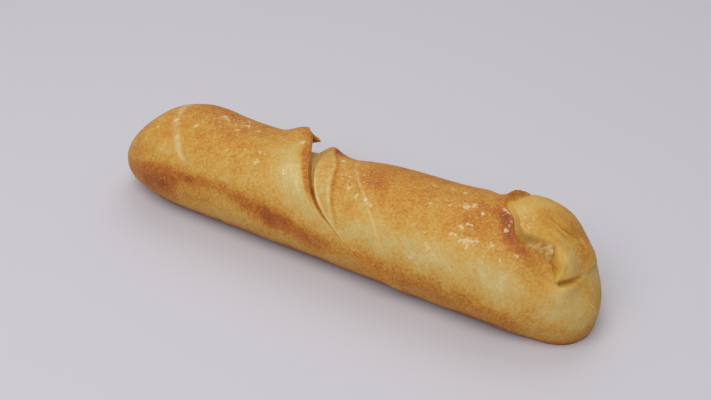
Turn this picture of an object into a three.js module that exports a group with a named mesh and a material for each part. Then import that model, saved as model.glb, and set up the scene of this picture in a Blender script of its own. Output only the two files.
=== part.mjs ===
// A salt bread roll: a strip of dough wound up on itself, then baked as one piece.
// Millimetres. The roll lies along X on the plane z = 0, with the winding's open end at +X.
// A place on its skin is a station along X and an angle round X: 0 is the top, 90 the front (-Y),
// 180 the underside and -90 the back.
import * as THREE from "three";
import { ParametricGeometry } from "three/addons/geometries/ParametricGeometry.js";

// The whole roll
const length = 190;
const width = 42.3;
const height = 38.5;
const taper = 0.014; // how much fuller the right end is than the middle, and the left end thinner
const squareness = 0.02; // how far the section stands out of an ellipse at its four corners
const pressed = 4.2; // how much of the round section the sheet that it is baked on has pressed flat

// How each end closes: over what reach, how blunt, and how much longer the reach is towards an angle and at the back.
// From some way out, an end's middle also sags towards the table and sways to the front.
const leftEnd = {
  reach: 38.2,
  bluntness: 2.05,
  slant: 5,
  towards: -60,
  atBack: 0,
  from: 75,
  sag: 4.5,
  sway: 0,
};
const rightEnd = {
  reach: 25.8,
  bluntness: 1.92,
  slant: 22.2,
  towards: 37,
  atBack: 4,
  from: 77,
  sag: 5.6,
  sway: 1.5,
};
const back = { angle: -130, round: 35 };

// Where the loaf stands proud or falls in: station, angle, spread along and round, height
const swellings = [
  { station: 72, angle: -40, along: 18.9, round: 45, height: 4.2 },
  { station: -66, angle: -36, along: 14, round: 50, height: 2.2 },
  { station: -2, angle: -36, along: 13, round: 30, height: -2.6 },
  { station: 0, angle: 138, along: 200, round: 32, height: -1 },
];

// The centre seam, where the left turn of the dough ends in a lip over the right one.
// The curve gives its station against the angle, and comes round to where it began under the loaf.
const seam = new THREE.SplineCurve(
  [
    [-180, 12],
    [-120, -24],
    [-90, -28],
    [-60, -26],
    [-36, -20.5],
    [0, -11.3],
    [30, -5.2],
    [60, 4],
    [84, 17],
    [108, 29.5],
    [130, 33],
    [180, 12],
  ].map(([angle, station]) => new THREE.Vector2(angle, station)),
);

// Sizes along the seam, each against the angle. Past the seam come the notch's floor, the bank that rises out of it,
// the strip and the strip's crest.
const proud = [[-180, 0], [-100, 0.4], [-75, 1.5], [-36, 3.8], [0, 1.7], [30, 0.9], [66, 0.1], [180, 0]];
const floor = [[-180, 0], [-82, 0.9], [-60, 4.4], [-36, 4.4], [0, 3.2], [45, 2.2], [68, 0.8], [180, 0]];
const floorEnd = [[-180, 2], [-60, 7], [-36, 7], [-8, 2.6], [20, 1.5], [180, 1.2]];
const bank = [[-180, 6], [-60, 4], [-10, 4], [15, 1.6], [180, 1]];
const strip = [[-180, 11], [-50, 12.4], [-14, 10.2], [7, 11.4], [40, 8.8], [70, 2.6], [180, 2.6]];
const crest = [[-180, 0], [-110, 0.2], [-38, 1.3], [0, 0.4], [60, 0.1], [180, 0]];
const behind = 12; // how far behind its edge the lip starts to rise
const lipFlat = 0.8; // how far behind its edge the lip is fully up
const wall = 0.2; // how far past the lip's edge the notch's wall lies
const bankShare = 0.6; // how much of the notch's depth its bank climbs, the strip climbing the rest
const crestBefore = 1.9; // the crest's spread on the strip's side
const crestAfter = 4.2; // and on the far side

// The winding's open end: its groove, then the pocket at the groove's middle, the core and the crease below it
const rim = { angle: 8, round: 30, tilt: 0.16, station: 64.5, depth: 1.6, width: 2.8 };
const pocket = { station: 76, angle: 22, along: 5.5, round: 12, depth: 3.6 };
const core = { station: 73, angle: -14, along: 9, round: 24, height: 1.2 };
const crease = { station: 85, angle: 38, along: 3, round: 10, depth: 1.8 };

const angleSteps = 72;
const stationSteps = 84;
const middleSpacing = 0.34; // how close the stations at the seam lie, against even ones

const degrees = Math.PI / 180;
const half = length / 2;
const { clamp, inverseLerp, lerp, smoothstep } = THREE.MathUtils;

const bell = (x, spread) => Math.exp(-((x / spread) ** 2));
const turned = (angle) => ((((angle + 180) % 360) + 360) % 360) - 180;

// The value at x on the line through the points.
function through(points, x) {
  const next = Math.max(1, points.findIndex(([at]) => at >= x));
  const [[lowX, low], [highX, high]] = [points[next - 1], points[next]];
  return lerp(low, high, inverseLerp(lowX, highX, x));
}

// The seam's station at an angle, read off its curve by halving, because the angle only grows along it.
function seamStation(angle) {
  let low = 0;
  let high = 1;
  for (let i = 0; i < 20; i++) {
    const middle = (low + high) / 2;
    if (seam.getPoint(middle).x < angle) low = middle;
    else high = middle;
  }
  return seam.getPoint(low).y;
}

// The share of the full section left at a place, given how far it is from that end's tip.
function closing(fromTip, angle, { reach, bluntness, slant, towards, atBack }) {
  const atAngle = slant * Math.cos((angle - towards) * degrees) + atBack * bell(turned(angle - back.angle), back.round);
  const run = clamp(1 - fromTip / (reach + atAngle), 0, 1);
  return Math.max(1 - run ** bluntness, 0) ** (1 / bluntness);
}

// How far the skin stands out at a place, from the swellings alone.
function swell(station, angle) {
  return swellings.reduce(
    (sum, s) => sum + s.height * bell(station - s.station, s.along) * bell(turned(angle - s.angle), s.round),
    0,
  );
}

// The seam: a lip that stands proud, then a notch, then a strip with a crest.
function seamRelief(station, angle) {
  const past = station - seamStation(angle);
  if (past < wall) return through(proud, angle) * smoothstep(past, -behind, -lipFlat);
  const floorEdge = through(floorEnd, angle);
  const stripEdge = through(strip, angle);
  const risen = bankShare * smoothstep(past, floorEdge, floorEdge + through(bank, angle));
  const sloped = (1 - bankShare) * smoothstep(past, wall, stripEdge);
  const crested = through(crest, angle) * bell(past - stripEdge, past < stripEdge ? crestBefore : crestAfter);
  return crested - through(floor, angle) * (1 - risen - sloped);
}

// The open end: a groove round the winding's rim, a pocket in its front, the core beyond it and a crease below.
function endRelief(station, angle) {
  const rimStation = rim.station + rim.tilt * (angle - rim.angle);
  const inFront = bell(turned(angle - rim.angle), rim.round);
  const groove = rim.depth * inFront * bell(station - rimStation, rim.width);
  const near = (spot) => bell(station - spot.station, spot.along) * bell(angle - spot.angle, spot.round);
  const hollow = pocket.depth * near(pocket);
  const swollen = core.height * near(core);
  const creased = crease.depth * near(crease);
  return swollen - groove - hollow - creased;
}

// The skin's point at a station and an angle.
function skinPoint(station, angle, target) {
  const open = Math.min(closing(station + half, angle, leftEnd), closing(half - station, angle, rightEnd));
  const size = 1 + (taper * station) / half;
  const relief = swell(station, angle) + seamRelief(station, angle) + endRelief(station, angle);
  const out = relief * smoothstep(open, 0, 0.6);
  const sine = Math.sin(angle * degrees);
  const cosine = Math.cos(angle * degrees);
  const square = 1 + squareness * (2 * sine * cosine) ** 2;
  const droopLeft = smoothstep(-station, leftEnd.from, half);
  const droopRight = smoothstep(station, rightEnd.from, half);
  const middleY = -leftEnd.sway * droopLeft - rightEnd.sway * droopRight;
  const middleZ = (height / 2) * size - pressed - leftEnd.sag * droopLeft - rightEnd.sag * droopRight;
  const y = middleY - ((width / 2) * size * open + out) * sine * square;
  const z = middleZ + ((height / 2) * size * open + out) * cosine * square;
  target.set(station, y, Math.max(z, 0));
}

// Stations lie close together at both tips and at the seam, and between the tips they lean over to run along it.
function loaf(u, v, target) {
  const angle = 360 * (u % 1) - 180; // the last column is the first one again
  const w = 2 * v - 1;
  const station = half * Math.sin((Math.PI / 2) * (middleSpacing * w + (1 - middleSpacing) * w ** 3));
  const lean = smoothstep(station, -88, -30) * smoothstep(-station, -90, -18);
  skinPoint(station + lean * seamStation(angle), angle, target);
}

const roll = new THREE.Mesh(
  new ParametricGeometry(loaf, angleSteps, stationSteps),
  new THREE.MeshStandardMaterial({ color: 0xc08a45, roughness: 0.6, metalness: 0 }),
);
roll.name = "bread_roll";

const group = new THREE.Group();
group.add(roll);

export default group;
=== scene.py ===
# A salt bread roll: the baked skin as one fine surface, its crust as one procedural material.
# Shapes are worked out in millimetres, as the dictionaries say, and turned into metres in the mesh.
import math

import bpy
import numpy as np
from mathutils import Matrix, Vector


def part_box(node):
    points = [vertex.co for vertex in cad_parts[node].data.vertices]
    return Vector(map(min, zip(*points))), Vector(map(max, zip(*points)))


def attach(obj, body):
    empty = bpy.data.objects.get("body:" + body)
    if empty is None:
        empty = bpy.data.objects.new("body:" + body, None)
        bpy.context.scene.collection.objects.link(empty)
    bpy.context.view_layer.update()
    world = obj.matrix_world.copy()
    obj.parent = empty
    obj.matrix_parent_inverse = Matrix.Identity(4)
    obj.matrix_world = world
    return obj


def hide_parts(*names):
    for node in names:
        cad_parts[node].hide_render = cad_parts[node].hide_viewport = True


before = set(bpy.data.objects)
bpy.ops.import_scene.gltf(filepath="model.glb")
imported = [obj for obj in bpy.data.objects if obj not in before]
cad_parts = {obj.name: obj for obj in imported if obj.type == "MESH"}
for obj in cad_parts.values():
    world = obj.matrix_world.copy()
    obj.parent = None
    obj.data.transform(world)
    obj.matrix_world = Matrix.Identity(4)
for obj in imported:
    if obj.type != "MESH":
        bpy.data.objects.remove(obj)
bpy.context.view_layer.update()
mm = 0.001
scene = bpy.context.scene
lowCorner, highCorner = (np.array(corner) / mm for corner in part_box("bread_roll"))
print("frame loaded, the loaf is", np.round(highCorner - lowCorner, 1), "mm")


# Numbers and curves

def smooth(low, high, x):  # 0 below low, 1 above high, and an S between
    t = np.clip((x - low) / (high - low), 0, 1)
    return t * t * (3 - 2 * t)


def bell(x, spread):  # e to the minus square of x over its spread
    return np.exp(-((x / spread) ** 2))


def turned(angle):  # the same angle, brought between -180 and 180
    return (angle + 180) % 360 - 180


def through(points, x):  # a curve through the points that never overshoots: each slope is a harmonic mean
    px, py = np.array(points, float).T
    rise = np.diff(py) / np.diff(px)
    same = rise[1:] * rise[:-1] > 0
    mean = 2 * rise[1:] * rise[:-1] / np.where(same, rise[1:] + rise[:-1], 1)
    slopes = np.concatenate([rise[:1], np.where(same, mean, 0), rise[-1:]])
    i = np.clip(np.searchsorted(px, x) - 1, 0, len(px) - 2)
    h = px[i + 1] - px[i]
    t = np.clip((x - px[i]) / h, 0, 1)
    start, end = (1 + 2 * t) * (1 - t) ** 2 * py[i], t * t * (3 - 2 * t) * py[i + 1]
    return start + end + h * t * (1 - t) ** 2 * slopes[i] - h * t * t * (1 - t) * slopes[i + 1]


def lattice(place, cell, seed):  # noise from -1 to 1: seeded values on a lattice, blended between corners
    table = np.random.default_rng(seed).uniform(-1, 1, (32, 32, 32))
    p = np.asarray(place) / cell + 1000.5
    low = np.floor(p).astype(int)
    t = p - low
    t = t * t * (3 - 2 * t)
    total = 0
    for corner in np.ndindex(2, 2, 2):
        weight = np.prod(np.where(corner, t, 1 - t), axis=-1)
        total = total + weight * table[tuple(np.moveaxis((low + corner) % 32, -1, 0))]
    return total


def layered(place, cell, seed, layers=3):  # noise at a cell, half of it and so on, each half as strong
    total = sum(lattice(place, cell / 2**k, seed + k) / 2**k for k in range(layers))
    return total / (2 - 0.5 ** (layers - 1))


# The loaf's plain shape

loaf = {
    "halfLength": (highCorner[0] - lowCorner[0]) / 2,
    "width": 42.3,
    "height": 38.5,
    "taper": 0.014,  # how much fuller the right end is
    "squareness": 0.02,  # how far the section stands out of an ellipse at its corners
    "pressed": 4.2,  # how much of the round section the baking sheet has pressed flat
    # how far from its tip an end starts to close, how blunt it is, how much longer the reach is towards
    # an angle and at the back, and from how far out its middle sags to the table and sways to the front
    "leftEnd": {"reach": 38.2, "bluntness": 2.05, "slant": 5, "towards": -60, "atBack": 0,
                "from": 75, "sag": 4.5, "sway": 0},
    "rightEnd": {"reach": 25.8, "bluntness": 1.92, "slant": 22.2, "towards": 37, "atBack": 4,
                 "from": 77, "sag": 5.6, "sway": 1.5},
    "back": {"angle": -130, "round": 35},
    # station, angle, spread along, spread round, height
    "swellings": [
        (72, -40, 18.9, 45, 4.2),
        (-66, -36, 14, 50, 2.2),
        (-2, -36, 13, 30, -2.6),
        (54.8, -40, 3.3, 25, -1.1),
        (0, 138, 200, 32, -1),
    ],
}


def closing(fromTip, angle, end):  # share of the full section, as a rounded end: (1 - run^n)^(1/n)
    reach = end["reach"] + end["slant"] * np.cos(np.radians(angle - end["towards"]))
    reach = reach + end["atBack"] * bell(turned(angle - loaf["back"]["angle"]), loaf["back"]["round"])
    run = np.clip(1 - fromTip / reach, 0, 1)
    return np.maximum(1 - run ** end["bluntness"], 0) ** (1 / end["bluntness"])


def plainLoaf(station, angle):  # a squarish ellipse at each station, closed at both ends
    half = loaf["halfLength"]
    left, right = loaf["leftEnd"], loaf["rightEnd"]
    full = np.minimum(closing(station + half, angle, left), closing(half - station, angle, right))
    size = 1 + loaf["taper"] * station / half
    swell = sum(height * bell(station - s, along) * bell(turned(angle - a), around)
                for s, a, along, around, height in loaf["swellings"]) * smooth(0, 0.6, full)
    sine, cosine = np.sin(np.radians(angle)), np.cos(np.radians(angle))
    square = 1 + loaf["squareness"] * (2 * sine * cosine) ** 2
    droopLeft, droopRight = smooth(left["from"], half, -station), smooth(right["from"], half, station)
    middleY = -left["sway"] * droopLeft - right["sway"] * droopRight
    sag = left["sag"] * droopLeft + right["sag"] * droopRight
    middleZ = loaf["height"] / 2 * size - loaf["pressed"] - sag
    y = middleY - (loaf["width"] / 2 * size * full + swell) * sine * square
    z = middleZ + (loaf["height"] / 2 * size * full + swell) * cosine * square
    return np.stack(np.broadcast_arrays(station, y, z), -1)


def nearPlace(place, station, angle, radius):  # a soft spot, 1 at its middle, round a place on the loaf
    centre = plainLoaf(np.array(float(station)), np.array(float(angle)))
    return bell(np.linalg.norm(place - centre, axis=-1), radius)


# The grid: its lines crowd at the seam and the open end, and lean over to run along the seam

grid = {
    "stations": 430,
    "angles": 228,
    # centre, spread, how much closer the lines lie there
    "crowdStations": [(0.5, 1.4, 6), (3, 8, 1), (77, 14, 1.9)],
    "crowdAngles": [(15, 55, 1), (-61, 6, 1.5)],
    "leanLeft": (-88, -30),  # between these the lines start to lean
    "leanRight": (18, 90),  # and between these they stop
}
# the seam's station against the angle
seamLine = [(-180, 12), (-120, -24), (-90, -28.5), (-60, -26), (-48, -23.5), (-36, -20.5), (-18, -15.2),
            (0, -11.3), (30, -5.2), (45, -1.5), (60, 4), (70, 9.3), (78, 12.8), (84, 17), (92, 21),
            (100, 26), (108, 29.5), (130, 35), (180, 12)]


def crowded(x, girth, count, crowds):  # values of x, evenly along (x, girth) but closer round the centres
    closer = 1 + sum(more * bell(x - centre, spread) for centre, spread, more in crowds)
    steps = np.hypot(np.diff(x), np.diff(girth)) * (closer[1:] + closer[:-1]) / 2
    run = np.concatenate([[0], np.cumsum(steps)])
    return np.interp(np.linspace(0, run[-1], count), run, x)


def skinGrid():  # how far past the seam each vertex lies, its angle and its station, with the tips left out
    half = loaf["halfLength"]
    x = half * np.sin(np.pi / 2 * np.linspace(-1, 1, 20001))
    full = closing(half + x, 0, loaf["leftEnd"]) * closing(half - x, 0, loaf["rightEnd"])
    stations = crowded(x, full * loaf["height"] / 2, grid["stations"] + 2, grid["crowdStations"])[1:-1]
    turn = np.linspace(-180, 180, 2001)
    angles = crowded(turn, 0 * turn, grid["angles"] + 1, grid["crowdAngles"])[:-1]
    past, angle = np.meshgrid(stations, angles, indexing="ij")
    lean = smooth(*grid["leanLeft"], past) * (1 - smooth(*grid["leanRight"], past))
    return past, angle, past + lean * through(seamLine, angle)


# The centre seam: a lip with a thin torn fin behind the top, a notch, a strip, a crest and a crease.
# Each list gives a size against the angle.

seam = {
    "proud": [(-180, 0), (-130, 0.3), (-100, 0.4), (-75, 1.5), (-58, 3.2), (-36, 3.8), (0, 1.7), (30, 0.9),
              (50, 0.5), (66, 0.1), (80, 0), (180, 0)],
    "fin": [(-180, 0), (-95, 0.2), (-76, 0.4), (-71, 1.2), (-67, 2.6), (-64, 4.4), (-61.5, 5.6),
            (-58.5, 3.8), (-55, 2), (-50, 0.7), (-44, -0.2), (-22, 0), (0, 0.3), (50, 0.3), (66, 0),
            (180, 0)],
    "floor": [(-180, 0), (-130, 0), (-100, 0.2), (-82, 0.9), (-60, 4.4), (-36, 4.4), (0, 3.2), (25, 2.6),
              (45, 2.2), (58, 1.5), (68, 0.8), (80, 0.4), (130, 0.2), (180, 0)],  # how deep the notch is
    "floorEnd": [(-180, 2), (-60, 7), (-36, 7), (-20, 4.6), (-8, 2.6), (7, 1.8), (20, 1.5), (45, 1.2),
                 (180, 1.2)],
    "bank": [(-180, 6), (-60, 4), (-36, 4), (-10, 4), (15, 1.6), (45, 1.1), (180, 1)],  # width of its rise
    "strip": [(-180, 11), (-50, 12.4), (-36, 12), (-14, 10.2), (7, 11.4), (17, 10.6), (27, 10), (40, 8.8),
              (53, 7.3), (62, 5.3), (70, 2.6), (180, 2.6)],  # where the strip ends
    "crest": [(-180, 0), (-110, 0.2), (-60, 0.9), (-38, 1.25), (-20, 0.9), (0, 0.35), (30, 0.3), (60, 0.15),
              (80, 0), (180, 0)],
    "crease": [(-180, 0), (-30, 0), (-18, 0.3), (10, 0.5), (60, 0.4), (72, 0), (180, 0)],
    "rightEdge": [(-180, 0), (62, 0), (76, 0.5), (110, 0.8), (135, 0.5), (165, 0), (180, 0)],
    "behind": 12,  # how far behind its edge the lip starts to rise
    "finThickness": 0.8,
    "bankShare": 0.6,  # how much of the notch's depth its bank climbs, the strip climbing the rest
    "rim": 0.3,  # height of the strip's edge above the bank
    "crestSpread": (1.9, 4.2),  # towards the seam, and away from it
}


def seamRelief(past, angle):  # how far the skin moves along X and out, at a distance past the seam
    at = {name: through(value, angle) for name, value in seam.items() if isinstance(value, list)}
    ragged = lattice(np.stack([angle, 0 * angle, 0 * angle], -1), 4, 3)
    fin = at["fin"] * (1 + 0.25 * ragged)
    rolledEdge = (0.3 * at["proud"] + 0.1) * smooth(-0.8, 0.1, past)
    lip = at["proud"] * smooth(-seam["behind"], -0.8, past) - rolledEdge
    under = smooth(0.05, 0.4, past)  # back under the fin
    wall = smooth(0.3, 1.1, past)  # down the notch's wall
    bank = smooth(at["floorEnd"], at["floorEnd"] + at["bank"], past)
    slope = smooth(0.5, at["strip"] + 0.5, past)
    deep = at["floor"] * (1 - seam["bankShare"] * bank - (1 - seam["bankShare"]) * slope)
    onFront = smooth(5, 25, angle) * (1 - smooth(60, 75, angle))
    rim = seam["rim"] * bell(past - at["floorEnd"] - at["bank"], 0.7) * onFront
    beyond = past - at["strip"]
    crest = at["crest"] * bell(beyond, np.where(beyond < 0, *seam["crestSpread"]))
    crease = at["crease"] * bell(beyond - 0.5, 0.45)
    edge = at["rightEdge"] * smooth(0, 0.35, past) * (1 - smooth(0.4, 7, past))
    along = fin * smooth(-3.2, -0.05, past) * (1 - under)
    thick = seam["finThickness"] * smooth(0.5, 3, fin)
    out = (lip - thick * under) * (1 - wall) + wall * (crest + rim - deep - crease) + edge
    return along, out


def across(values, axis):  # difference of neighbours; the angles wrap round, the stations don't
    if axis == 1:
        return np.roll(values, -1, 1) - np.roll(values, 1, 1)
    return np.gradient(values, axis=0)


def normalsOf(place):  # unit normal of each vertex, from its neighbours' cross product
    normal = np.cross(across(place, 1), across(place, 0))
    return normal / np.maximum(np.linalg.norm(normal, axis=-1, keepdims=True), 1e-9)


# The open end: the sleeve's edge winds from behind the top, down the front and in under the core's bulb.
# A path is a list of (station, angle); a size is a list against how many of its path's points are passed.

winding = {
    "from": 50,
    "edge": [(66.5, -92), (65.2, -70), (63.8, -50), (62.9, -33), (61.6, -21), (60.2, -11), (61, -5),
             (63.8, 1), (65.4, 7), (66.8, 15), (68.4, 21), (70.4, 25), (72.2, 24), (74.4, 24), (76.5, 26),
             (79.2, 28), (81.2, 28), (82.3, 32), (82.6, 38), (83.3, 45.5), (84.7, 44), (86.3, 35),
             (87.8, 21), (88.8, 7), (89.4, -10)],
    "proud": [(0, 0), (2, 0.2), (3, 0.8), (4, 2), (5.1, 1.1), (6, 0.5), (7.9, 0.9), (9.9, 1), (11, 0.8),
              (13, 0.5), (15.2, 0.4), (17.4, 0.1), (18.7, 0.1), (20.7, 0.7), (22.2, 0.4), (24, 0)],
    "behind": [(2, 3), (5.3, 3.5), (7.5, 6), (17.4, 6), (19.6, 4), (24, 3)],
    "drop": [(0, 0), (2, 0.2), (3.1, 1.2), (5.1, 0.8), (6.4, 1.2), (8.6, 2), (10.1, 3.6), (11.2, 4.2),
             (13, 3), (15.2, 2.6), (16.5, 2.4), (17.6, 0.8), (18.7, 0.3), (19.6, 0.9), (20.7, 3),
             (21.8, 2.6), (22.9, 0.9), (24, 0)],
    "reach": [(2, 3), (4.2, 2.5), (6.4, 2.2), (8.6, 3), (10.4, 4.5), (11.9, 5.5), (14.1, 6), (15.6, 4.5),
              (17, 2), (18.5, 1.6), (20, 2.4), (21.8, 2), (24, 1.5)],
    "lobe": [(64, -4), (65.8, 2), (67, 6), (68.3, 11), (70.2, 15), (72.2, 14.5), (74.2, 12.5), (76.3, 10),
             (78.4, 8), (80, 9), (80.8, 15), (81.5, 24), (82.2, 32)],
    "lobeHeight": [(0, 0), (2.4, 0.6), (5, 0.9), (6.6, 0.5), (9, 0.5), (12, 0.2)],
    "coreFold": [(73.5, -13), (76.7, -13), (79, -13.5), (81, -17), (83.5, -25), (85.2, -26), (86.5, -18)],
    "coreFoldDepth": [(0, 0), (0.9, 0.5), (3, 0.9), (4.8, 0.6), (6, 0)],
    "bulbFold": [(79.3, 7), (80, 9.5), (80.6, 15), (81.2, 22), (81.9, 29), (82.2, 34)],
    "bulbFoldDepth": [(0, 0), (1.2, 0.8), (3.5, 1.1), (5, 0.2)],
    # station, angle, radius, height: the ones over 1 mm high are on the core, the others on the sleeve
    "bumps": [(84.2, 13, 4.2, 1.6), (86.3, 48, 4, 1), (78.5, 47, 5.5, -0.9), (71, -14, 7, 1.1),
              (87.5, -36, 6, 1.3)],
}


def beside(path, place, normal):  # distance from a path, positive on its left, and how many points passed
    knots = np.arange(len(path))
    steps = np.linspace(0, len(path) - 1, 12 * len(path))
    stations, angles = (through(np.stack([knots, column], -1), steps) for column in np.array(path, float).T)
    line = plainLoaf(stations, angles)
    tangent = np.gradient(line, axis=0)
    tangent /= np.linalg.norm(tangent, axis=-1, keepdims=True)
    nearest = np.argmin((line**2).sum(-1) - 2 * place @ line.T, axis=1)
    offset = place - line[nearest]
    forward = (offset * tangent[nearest]).sum(-1)
    side = np.sign((np.cross(tangent[nearest], offset) * normal).sum(-1))
    outside = (nearest == 0) & (forward < 0) | (nearest == len(line) - 1) & (forward > 0)
    distance = np.sqrt(np.maximum((offset**2).sum(-1) - np.where(outside, 0, forward) ** 2, 0))
    return side * distance, steps[nearest]


def windingRelief(place, normal):  # how far the skin moves out, and how far it is from the edges and folds
    edge, reached = beside(winding["edge"], place, normal)
    at = {name: through(winding[name], reached) for name in ("proud", "behind", "drop", "reach")}
    lobe, onLobe = beside(winding["lobe"], place, normal)
    swollen = smooth(-0.4, 0.6, lobe) * smooth(0, 1.2, onLobe) * (1 - smooth(10.8, 12, onLobe))
    sleeve = at["proud"] * smooth(-at["behind"], -0.8, edge) * (1 - 0.5 * smooth(-0.8, 0, edge))
    inside = -at["drop"] * (1 - smooth(0.5, at["reach"], edge)) * (1 - swollen)
    wall = smooth(-0.15, 0.7, edge)
    rise = through(winding["lobeHeight"], onLobe) * swollen * (1 - smooth(1, 7, lobe))
    fold, onFold = beside(winding["coreFold"], place, normal)
    creased = through(winding["coreFoldDepth"], onFold) * (bell(fold, 0.55) - 0.45 * bell(fold - 1.6, 1.3))
    bulb, onBulb = beside(winding["bulbFold"], place, normal)
    creased = creased + through(winding["bulbFoldDepth"], onBulb) * bell(bulb, 0.6)
    out = sleeve * (1 - wall) + inside * wall + rise - creased
    for station, angle, radius, height in winding["bumps"]:
        spot = nearPlace(place, station, angle, radius)
        out = out + height * spot * smooth(-0.5, 0.5, edge if height > 1 else 1 - edge)
    return out, {"edge": edge, "reached": reached, "lobe": lobe, "onLobe": onLobe,
                 "fold": fold, "onFold": onFold, "bulb": bulb, "onBulb": onBulb}


# The skin: the plain loaf, moved out along its normal and along X, with the dough's own unevenness

past, angle, station = skinGrid()
plain = plainLoaf(station, angle)
outward = normalsOf(plain)
along, out = seamRelief(past, angle)
end = station > winding["from"]
endOut, found = windingRelief(plain[end], outward[end])
near = {}  # how far each vertex is from the winding's edges and folds, which is very far outside the end
for name, values in found.items():
    near[name] = np.full(past.shape, -99.0)
    near[name][end] = values
out[end] += endOut
girth = np.radians(angle) * loaf["width"] / 2
unevenness = {
    # height, cell, seed
    "lumps": [(0.3, 15, 11), (0.1, 5, 21), (0.04, 1.8, 31)],
    "crumb": (1.2, 1.9, 71),
    "stretch": 0.06,  # height of the marks where the dough stretched beside the lip
}
lumps = sum(size * layered(plain, cell, seed, 2) for size, cell, seed in unevenness["lumps"])
stretchPlace = np.stack([past / 1.1, girth / 9, 0 * past], -1)
besideLip = smooth(-22, -8, past) * (1 - smooth(-2.5, -1, past)) * bell(angle - 35, 50)
stretch = unevenness["stretch"] * lattice(stretchPlace, 1, 41) * besideLip
size, cell, seed = unevenness["crumb"]
torn = bell(near["edge"] - 3, 2.3) * bell(near["reached"] - 13.4, 2.6)
crumbly = size * layered(plain, cell, seed) * torn
skin = plain + outward * (out + lumps + stretch + crumbly)[..., None]
skin[..., 0] += along
skin[..., 2] = np.maximum(skin[..., 2], 0)
print("skin worked out,", skin.shape[0] * skin.shape[1], "vertices")


# How the crust is baked, from 0 for pale dough to 1 for dark brown

baking = {
    "plain": 0.5,
    # station, angle, spread along, spread round, how much browner, left of the seam and right of it
    "leftPatches": [(-45, -100, 50, 24, -0.14), (-45, -128, 50, 9, 0.2), (-55, 92, 12, 14, 0.17),
                    (-50, -22, 26, 40, 0.14), (-88, 10, 10, 60, 0.05), (-35, 52, 22, 13, -0.08),
                    (-62, 45, 12, 14, -0.06), (-38, 106, 24, 14, -0.14), (-67, 100, 9, 20, 0.18),
                    (-30, 165, 80, 40, 0.2)],
    "rightPatches": [(45, -100, 45, 24, -0.16), (45, -127, 50, 9, 0.2), (92, 40, 9, 45, -0.1),
                     (25, -32, 26, 26, 0.17), (16.5, 12, 5, 12, 0.28), (45, 8, 22, 22, 0.06),
                     (38, 62, 34, 18, -0.26), (72, 72, 12, 22, -0.22), (60, 8, 8, 26, 0.14),
                     (90, 80, 14, 40, -0.13), (30, 165, 80, 40, 0.25)],
    # the brown line along the front: its upper edge, its strength and how far down it fades, by station
    "streakEdge": [(-95, 84), (-78, 76), (-72, 72), (-61, 68), (-53, 66.5), (-42, 65), (-35, 64), (-28, 67),
                   (-20, 71), (-10, 75), (-4, 80), (2, 84), (8, 83), (20, 84), (33, 85), (46, 87), (58, 90),
                   (67, 94), (72, 99), (76, 112)],
    "streakStrength": [(-88, 0), (-78, 0.2), (-66, 0.27), (-58, 0.28), (-48, 0.3), (-40, 0.18), (-30, 0.28),
                       (-15, 0.38), (0, 0.28), (8, 0.24), (14, 0.08), (22, 0.11), (30, 0.12), (60, 0.1),
                       (70, 0.12), (75, 0.1), (79, 0)],
    "streakFade": [(-84, 40), (-66, 38), (-52, 15), (-40, 12), (-30, 20), (-15, 22), (0, 22), (14, 24),
                   (24, 30), (75, 30)],
    # the lip's brown band: its width against the angle, and how baked it is
    "bandWidth": [(-180, 3.6), (-40, 3.6), (0, 2.3), (20, 1.9), (45, 1.1), (180, 1)],
    "band": 0.68,
    "strip": 0.32,
    # the winding's open end: how baked its core is, then spots with station, angle, radius, how baked
    "core": 0.42,
    "endPatches": [(66.5, -6, 4, 0.2), (71, -20, 5, 0.28), (74, -12, 4, 0.66), (78, -20, 4, 0.66),
                   (70, 4, 3, 0.5), (84, -34, 3.5, 0.75), (86.5, -22, 3, 0.7), (77, -38, 3.5, 0.68),
                   (84.2, 13, 4, 0.2), (86.8, 51, 4.5, 0), (91, -42, 6, 0.25), (93, 5, 5, 0.35),
                   (80, 49, 6, 0.68), (76, 34, 3, 0.7), (86, 62, 6, 0.25)],
    # the base, browned by its sheet and darker still as painted contact shade: how high, how much lower at
    # the right end and at the back, how baked
    "baseHeight": 7.2,
    "baseLower": (4, 2),
    "baseBrownAndShade": 0.98,
}


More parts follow.
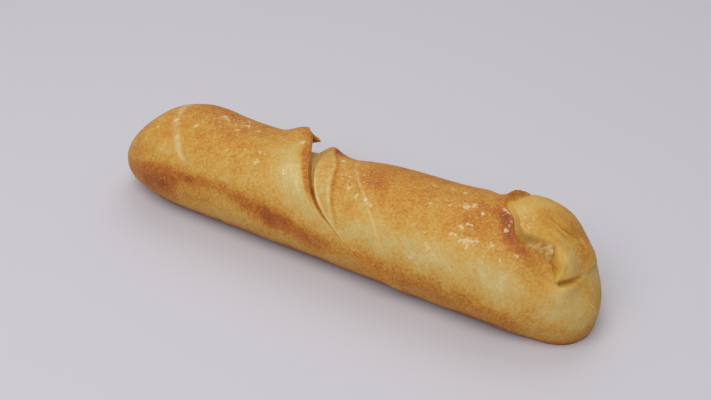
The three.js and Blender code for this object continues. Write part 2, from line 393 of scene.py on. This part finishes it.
def bakingOf(past, angle, station, plain):  # the sum of soft patches, the seam's bands and the front's line
    def patched(patches):
        return baking["plain"] + sum(more * bell(station - s, along) * bell(turned(angle - a), around)
                                     for s, a, along, around, more in patches)
    left, right = patched(baking["leftPatches"]), patched(baking["rightPatches"])
    uneven, mottle = layered(plain, 9, 51), layered(plain, 3, 81, 2)
    left = left - 0.38 * smooth(-20, -4, past) * bell(angle - 36, 38)
    bandWidth = through(baking["bandWidth"], angle)
    lipBand = bell(past + 0.5 * bandWidth, bandWidth) * (1.1 + 0.6 * uneven)
    lipBand = np.clip(lipBand * smooth(-75, -45, angle) * (1 - smooth(35, 68, angle)), 0, 1)
    left = left + (baking["band"] - left) * lipBand
    stripEnd = through(seam["strip"], angle)
    onStrip = (1 - smooth(stripEnd - 0.5, stripEnd + 1, past)) * smooth(-110, -70, angle)
    onStrip = onStrip * (1 - smooth(66, 76, angle))
    right = right - (right - baking["strip"]) * onStrip * (0.7 + 0.9 * uneven + 0.7 * mottle)
    # painted shade in the crease beyond the strip, and a painted highlight on the ridge just before it
    crease = 0.22 * bell(past - stripEnd - 0.6, 0.8) - 0.2 * bell(past - stripEnd + 1, 0.7)
    right = right + crease * bell(angle - 25, 42) * (1 - smooth(62, 72, angle))
    # a painted highlight on the strip's rim above the notch, then painted shade down the notch's wall
    right = right - 0.25 * bell(past - 2.6, 0.7) * bell(angle - 42, 24)
    right = right + 0.35 * bell(past - 0.9, 0.7) * bell(angle - 38, 26)
    crestTop = bell(past - stripEnd - 1.2, 2.6) * bell(angle + 33, 26)
    right = right + (0.36 + 0.3 * mottle) * crestTop
    below = angle + 3 * layered(plain, 7, 61) - through(baking["streakEdge"], station)
    fade = through(baking["streakFade"], station)
    streak = smooth(-7, 4, below) * (1 - smooth(0.4 * fade, 1.25 * fade, below))
    streak = streak * through(baking["streakStrength"], station)
    return np.where(past < 0.5, left, right) + streak * (1 + 0.3 * uneven) + 0.05 * uneven


# besides its colours, this paints shade in the winding's folds, its crease and its trench
def endBaking(bake, plain, near):  # browner rim, pale core with brown streaks, torn crumb between them
    edge, reached, lobe, onLobe = (near[name] for name in ("edge", "reached", "lobe", "onLobe"))
    fold, onFold, bulb, onBulb = (near[name] for name in ("fold", "onFold", "bulb", "onBulb"))
    redRim = bell(edge + 2, 1.9) * smooth(5.5, 7.3, reached) * (1 - smooth(13, 15.6, reached))
    ridge = bell(edge + 1.2, 1.9) * smooth(0.5, 2, reached) * (1 - smooth(4, 5.3, reached))
    inCore = smooth(0, 0.8, edge) * smooth(0, 1.5, reached) * (1 - smooth(21, 23.8, reached))
    crumb = smooth(0.3, 1.2, edge) * (1 - smooth(-0.8, 0.2, lobe))
    crumb = crumb * smooth(10.8, 12.1, reached) * (1 - smooth(16.5, 18.3, reached))
    bake = bake + 0.33 * redRim + 0.26 * ridge
    bake = bake + (baking["core"] - bake) * inCore
    streaks = lattice(np.stack([fold, onFold * 0.8, 0 * fold], -1), 1, 91) * bell(fold + 1, 8)
    # the streaks are the core's own colour; the dark line on the fold itself is painted shade
    bake = bake + (0.32 * streaks + 0.3 * bell(fold, 0.5)) * inCore
    # painted shade along the bulb's fold
    bake = bake + 0.35 * bell(bulb, 0.6) * smooth(1.5, 2.5, onBulb)
    # painted shade: the crumb darkens along the sleeve's edge and under the lobe, and loses its crumb
    # colour there
    trenchShade = bell(edge - 1.4, 0.7) + 0.8 * bell(lobe + 0.2, 0.5) * smooth(4.5, 5.5, onLobe)
    bake = bake + 0.3 * crumb * (trenchShade + layered(plain, 1.6, 95, 2))
    # darker brown in the crease under the bulb: painted shade
    bake = bake + 0.3 * bell(edge - 0.6, 0.8) * bell(reached - 21, 1.6)
    for station, angle, radius, level in baking["endPatches"]:
        bake = bake + (level - bake) * 0.8 * nearPlace(plain, station, angle, radius)
    return bake, inCore, crumb * (1 - 0.6 * np.clip(trenchShade, 0, 1))


# a browned base and painted contact shade in one: 1 at the table, fading out below an uneven line
def baseBrowningAndShade(station, angle, plain, height):  # 1 at the table, fading out below an uneven line
    lowerRight, lowerBack = baking["baseLower"]
    line = baking["baseHeight"] - lowerRight * smooth(66, 80, station) - lowerBack * smooth(0, -60, angle)
    line = line + 2.4 * layered(plain, 11, 57)
    return 1 - smooth(line - 4.5, line + 0.5, height)


bake, inCore, crumb = endBaking(bakingOf(past, angle, station, plain), plain, near)
# painted contact shade along the table, laid over the base's own browning
baseBrownAndShade = baseBrowningAndShade(station, angle, plain, skin[..., 2])
bake = np.clip(bake + (baking["baseBrownAndShade"] - bake) * 0.9 * baseBrownAndShade, 0, 1.1)
redLine = bell(near["edge"] + 1, 0.8) * bell(near["reached"] - 8.8, 2)
wallBare = smooth(0.3, 0.8, past) * (1 - smooth(1.2, 3.5, past)) * bell(angle + 30, 45)
yellowed = smooth(70, 82, station) * smooth(8, 30, angle) * (1 - smooth(50, 80, angle))
yolk = np.clip(inCore * (1 - crumb) + yellowed, 0, 1)


# Flour and salt on the crust

dusting = {
    # two lines of flour: angle, station
    "flourLeft": [(-60, -76), (3, -69), (15, -67), (26, -64), (38, -60), (47, -58), (54, -55), (64, -50)],
    "flourRight": [(-60, 2), (-3, 7), (18, 12.5), (27, 16), (36, 19), (48, 23), (55, 25), (69, 28.5),
                   (80, 31)],
    # the larger marks that salt left: station, angle
    "salt": [(-73, 29), (-67, 15), (-57, 15), (-52, -12), (-50, -9), (-43, -20), (-42, 3), (-41, -10),
             (-35, -6), (-33, 24), (-27, 21), (-25, 22), (-26, 33), (-16, -4), (-14, 33), (2, 27),
             (2, -4), (11, 28), (15, 33), (18, 34), (21, 37), (36, -8), (42, -11), (46, -11), (39, 18),
             (50, 8), (52, 4), (56, 11), (54, 25), (52, 30), (51, 38), (53, 43), (55, 41), (57, 38),
             (56, 46), (63, 38), (44, 56), (40, 69), (62, 1), (65, 18), (67, 47), (71, 38), (94, 22),
             (94, 58)],
    "saltSize": (0.5, 1.3),  # smallest and largest spread of one
    # where finer grains lie: station, angle, spread along, spread round
    "grains": [(-50, 0, 10, 14), (-40, -12, 8, 10), (14, 14, 5, 11), (19, 38, 3, 9), (48, 6, 8, 12),
               (4, 15, 5, 20), (68, 4, 5, 16), (55, 38, 6, 8)],
}


def dustingOf(station, angle):  # how floured, and how much salt
    left = bell(station - through(dusting["flourLeft"], angle), 1.5)
    right = bell(station - through(dusting["flourRight"], angle), 0.5)
    floured = left * smooth(-45, -20, angle) * (1 - smooth(50, 62, angle))
    floured = floured + 0.8 * right * smooth(-25, -5, angle) * (1 - smooth(68, 76, angle))
    sizes = np.random.default_rng(101).uniform(*dusting["saltSize"], (len(dusting["salt"]), 2))
    perDegree = np.radians(1) * loaf["width"] / 2
    salt = sum(bell(station - s, long) * bell((angle - a) * perDegree, wide)
               for (s, a), (long, wide) in zip(dusting["salt"], sizes))
    grains = sum(bell(station - s, along) * bell(angle - a, around)
                 for s, a, along, around in dusting["grains"])
    return np.clip(floured, 0, 1), np.clip(np.clip(salt, 0, 1) + 0.26 * np.clip(grains, 0, 1), 0, 1)


floured, salted = dustingOf(station, angle)


# The mesh, with what the crust's material reads from it

def tube(name, place, tips):  # a closed mesh: rings joined by quads, and a fan of triangles at each tip
    rings, sides = place.shape[:2]
    ring, side = np.meshgrid(np.arange(rings - 1), np.arange(sides), indexing="ij")
    nextSide = (side + 1) % sides
    quads = np.stack([ring * sides + side, ring * sides + nextSide,
                      (ring + 1) * sides + nextSide, (ring + 1) * sides + side], -1).reshape(-1, 4)
    turn = np.arange(sides)
    nextTurn = (turn + 1) % sides
    fanFirst = np.stack([nextTurn, turn, rings * sides + 0 * turn], -1)
    fanLast = np.stack([turn, nextTurn, sides + 1 + 0 * turn], -1) + (rings - 1) * sides
    corners = np.concatenate([quads.ravel(), fanFirst.ravel(), fanLast.ravel()])
    sizes = np.concatenate([np.full(len(quads), 4), np.full(2 * sides, 3)])
    vertices = np.concatenate([place.reshape(-1, 3), tips]) * mm
    mesh = bpy.data.meshes.new(name)
    mesh.vertices.add(len(vertices))
    mesh.vertices.foreach_set("co", vertices.ravel())
    mesh.loops.add(len(corners))
    mesh.loops.foreach_set("vertex_index", corners)
    mesh.polygons.add(len(sizes))
    mesh.polygons.foreach_set("loop_start", np.concatenate([[0], np.cumsum(sizes)[:-1]]))
    mesh.polygons.foreach_set("use_smooth", np.ones(len(sizes), bool))
    mesh.update(calc_edges=True)
    mesh.validate()
    piece = bpy.data.objects.new(name, mesh)
    scene.collection.objects.link(piece)
    return piece


def attribute(piece, name, values, tipValues=(0, 0)):  # one number for each vertex
    layer = piece.data.attributes.new(name, "FLOAT", "POINT")
    layer.data.foreach_set("value", np.concatenate([values.ravel(), tipValues]).astype(np.float32))


half = loaf["halfLength"]
tips = plainLoaf(np.array([-half, half]), np.array([0.0, 0.0]))
roll = tube("bread_skin", skin, tips)
attribute(roll, "past", past / 10, (-half / 10, half / 10))
attribute(roll, "girth", girth / 10)
attribute(roll, "bake", bake, (0.55, 0.3))
attribute(roll, "yolk", yolk, (0, 0.2))
attribute(roll, "crumb", np.clip(crumb + 0.6 * wallBare, 0, 1))
attribute(roll, "floured", floured)
attribute(roll, "salted", salted)
attribute(roll, "red", redLine)
print("mesh made,", len(roll.data.polygons), "faces")


# Materials

class Socket:  # a node's output; a sum on it adds a Math node
    def __init__(self, maker, output):
        self.maker, self.output = maker, output

    def math(self, operation, *values):
        return self.maker.node("ShaderNodeMath", {"operation": operation}, dict(enumerate(values)))

    def __add__(self, other):
        return self.math("ADD", self, other)

    __radd__ = __add__

    def __mul__(self, other):
        return self.math("MULTIPLY", self, other)

    __rmul__ = __mul__

    def __sub__(self, other):
        return self.math("SUBTRACT", self, other)

    def __rsub__(self, other):
        return self.math("SUBTRACT", other, self)


class Maker:  # builds one material's nodes
    def __init__(self, name):
        self.material = bpy.data.materials.new(name)
        self.material.use_nodes = True
        self.tree = self.material.node_tree
        self.shader = self.tree.nodes["Principled BSDF"]

    def fill(self, made, inputs):
        for key, value in inputs.items():
            named = [s for s in made.inputs if s.enabled and s.name == key]
            socket = named[0] if named else made.inputs[key]
            if isinstance(value, Socket):
                self.tree.links.new(value.output, socket)
            else:
                socket.default_value = value

    def node(self, kind, settings, inputs, output=None):
        made = self.tree.nodes.new(kind)
        for name, value in settings.items():
            if name == "stops":
                for _ in value[2:]:
                    made.color_ramp.elements.new(0.5)
                for element, (position, colour) in zip(made.color_ramp.elements, value):
                    element.position, element.color = position, colour
            else:
                setattr(made, name, value)
        self.fill(made, inputs)
        given = [s for s in made.outputs if s.enabled and (output is None or s.name == output)]
        return Socket(self, given[0])

    def attribute(self, name):
        return self.node("ShaderNodeAttribute", {"attribute_name": name}, {}, "Fac")

    def noise(self, vector, cell, detail=2.0, roughness=0.5):  # the cell is in the vector's own unit
        return self.node("ShaderNodeTexNoise", {}, {"Vector": vector, "Scale": 1 / cell, "Detail": detail,
                                                    "Roughness": roughness}, "Fac")

    def smooth(self, low, high, value):
        return self.node("ShaderNodeMapRange", {"interpolation_type": "SMOOTHSTEP"},
                         {"Value": value, "From Min": low, "From Max": high})

    def mix(self, share, a, b):
        return self.node("ShaderNodeMix", {"data_type": "RGBA"}, {"Factor": share, "A": a, "B": b})


def srgb(red, green, blue):  # a colour from 0 to 255, as the eye sees it, turned into amounts of light
    shares = (channel / 255 for channel in (red, green, blue))
    return (*(c / 12.92 if c <= 0.04 else ((c + 0.055) / 1.055) ** 2.4 for c in shares), 1)


crustLook = {
    # how baked, and its colour
    "stops": [(0, (213, 195, 142)), (0.22, (202, 175, 110)), (0.42, (202, 156, 72)), (0.6, (192, 131, 48)),
              (0.78, (176, 101, 36)), (1, (140, 70, 26))],
    "yolk": (206, 160, 66),
    "crumb": (200, 172, 108),
    # a darker colour painted as shade in the crumb's pores
    "poreShade": (166, 122, 58),
    "flour": (222, 202, 156),
    "red": (168, 80, 56),
    # the cell of each unevenness in metres, and how much it changes how baked the crust looks
    "cells": {"blotch": 0.0065, "mottle": 0.0022, "grain": 0.0009, "fine": 0.00035, "dots": 0.0011},
    "amounts": {"blotch": 0.36, "mottle": 0.26, "grain": 0.34, "grainWhereBrown": 0.36, "fine": 0.4,
                "stretch": 0.4, "dots": 0.2},
    "alongToRound": 9.0,  # how much shorter the stretch marks are along the loaf than round it
    "roughness": 0.6,
    "bumpHeight": 0.00028,
}


def crustMaterial(name):  # baked colour by how baked it is, then yolk, red, crumb, salt and flour over it
    look, cells, amounts = crustLook, crustLook["cells"], crustLook["amounts"]
    m = Maker(name)
    place = m.node("ShaderNodeTexCoord", {}, {}, "Object")
    bakeHere, yolkHere, crumbHere = m.attribute("bake"), m.attribute("yolk"), m.attribute("crumb")
    flouredHere, saltedHere = m.attribute("floured"), m.attribute("salted")
    alongSkin = m.attribute("past") * look["alongToRound"]
    onSkin = m.node("ShaderNodeCombineXYZ", {}, {"X": alongSkin, "Y": m.attribute("girth")})
    blotch = m.noise(place, cells["blotch"], 3.0)
    mottle = m.noise(place, cells["mottle"])
    grain = m.noise(place, cells["grain"], 3.0, 0.6)
    fine = m.noise(place, cells["fine"], 2.0, 0.6)
    stretch = m.noise(onSkin, 1.0)
    away = m.node("ShaderNodeTexVoronoi", {"feature": "F1"}, {"Vector": place, "Scale": 1 / cells["dots"]},
                  "Distance")
    dotted = m.smooth(0.45, 0.62, m.noise(place, 0.004)) * m.smooth(0.42, 0.7, bakeHere)
    dot = (1 - m.smooth(0.12, 0.42, away)) * dotted
    graininess = amounts["grain"] + amounts["grainWhereBrown"] * m.smooth(0.15, 0.5, bakeHere)
    tone = bakeHere + (blotch - 0.5) * amounts["blotch"] + (mottle - 0.5) * amounts["mottle"]
    tone = tone + (grain - 0.5) * graininess + (fine - 0.5) * amounts["fine"] - dot * amounts["dots"]
    tone = tone + (stretch - 0.5) * m.smooth(0.5, 0.15, bakeHere) * amounts["stretch"]
    stops = [(at, srgb(*colour)) for at, colour in look["stops"]]
    baked = m.node("ShaderNodeValToRGB", {"stops": stops}, {"Fac": tone}, "Color")
    golden = m.mix(yolkHere * 0.3, baked, srgb(*look["yolk"]))
    reddened = m.mix(m.attribute("red") * 0.45, golden, srgb(*look["red"]))
    # painted shade: the torn crumb is mixed with a darker colour in its pores
    shadedPores = m.smooth(0.4, 0.56, m.noise(place, 0.0013, 3.0))
    opened = m.mix(crumbHere * 0.75, reddened, m.mix(shadedPores, srgb(*look["poreShade"]), srgb(*look["crumb"])))
    flecks = m.smooth(0.6, 0.82, saltedHere * 0.3 + m.noise(place, 0.0011))
    flecks = flecks * m.smooth(0.02, 0.2, saltedHere)
    dust = flouredHere * m.smooth(0.28, 0.58, m.noise(place, 0.0028, 3.0))
    powdered = m.mix(flecks * 0.72 + dust * 0.58, opened, srgb(*look["flour"]))
    rough = look["roughness"] + (grain - 0.5) * 0.25 + flecks * 0.15
    height = grain * 0.5 + fine * 0.25 + stretch * 0.35 + dot * 0.3
    bump = m.node("ShaderNodeBump", {}, {"Strength": 0.5, "Distance": look["bumpHeight"], "Height": height},
                  "Normal")
    m.fill(m.shader, {"Base Color": powdered, "Roughness": rough, "Normal": bump, "Subsurface Weight": 0.08,
                      "Subsurface Scale": 0.004, "Specular IOR Level": 0.25})
    return m.material


roll.data.materials.append(crustMaterial("crust"))
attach(roll, "root")
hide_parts("bread_roll")
print("crust made")


# Floor, light and camera

studio = {
    "paper": (0.60, 0.585, 0.63, 1),
    "paperRoughness": 0.9,
    "sky": 0.33,
    # place, size, power
    "lamps": {"window": ((0.0, -0.6, 0.94), 1.2, 9.1), "ceiling": ((-0.25, 0.6, 0.95), 0.9, 2.8)},
}
floorMesh = bpy.data.meshes.new("floor")
floorMesh.from_pydata([(-2, -2, 0), (2, -2, 0), (2, 2, 0), (-2, 2, 0)], [], [(0, 1, 2, 3)])
floor = bpy.data.objects.new("floor", floorMesh)
scene.collection.objects.link(floor)
paper = bpy.data.materials.new("paper")
paper.use_nodes = True
paper.node_tree.nodes["Principled BSDF"].inputs["Base Color"].default_value = studio["paper"]
paper.node_tree.nodes["Principled BSDF"].inputs["Roughness"].default_value = studio["paperRoughness"]
floorMesh.materials.append(paper)

world = bpy.data.worlds.new("room")
world.use_nodes = True
world.node_tree.nodes["Background"].inputs["Color"].default_value = (1, 1, 1, 1)
world.node_tree.nodes["Background"].inputs["Strength"].default_value = studio["sky"]
scene.world = world
scene.view_settings.view_transform = "Standard"

for name, (place, size, power) in studio["lamps"].items():
    light = bpy.data.lights.new(name, "AREA")
    light.shape, light.size, light.energy = "DISK", size, power
    lamp = bpy.data.objects.new(name, light)
    lamp.location = place
    lamp.rotation_euler = (-lamp.location).to_track_quat("-Z", "Y").to_euler()
    scene.collection.objects.link(lamp)

shot = {"azimuth": 31.35, "elevation": 33.95, "distance": 309.9, "target": (3.4, 6.4, 15.4), "lens": 44}
cameraData = bpy.data.cameras.new("camera")
cameraData.lens = shot["lens"]
camera = bpy.data.objects.new("camera", cameraData)
azimuth, elevation = math.radians(shot["azimuth"]), math.radians(shot["elevation"])
target = Vector(shot["target"]) * mm
backward = Vector((math.sin(azimuth) * math.cos(elevation), -math.cos(azimuth) * math.cos(elevation),
                   math.sin(elevation)))
camera.location = target + backward * shot["distance"] * mm
camera.rotation_euler = (-backward).to_track_quat("-Z", "Y").to_euler()
scene.collection.objects.link(camera)
scene.camera = camera
print("floor, lamps and camera placed")
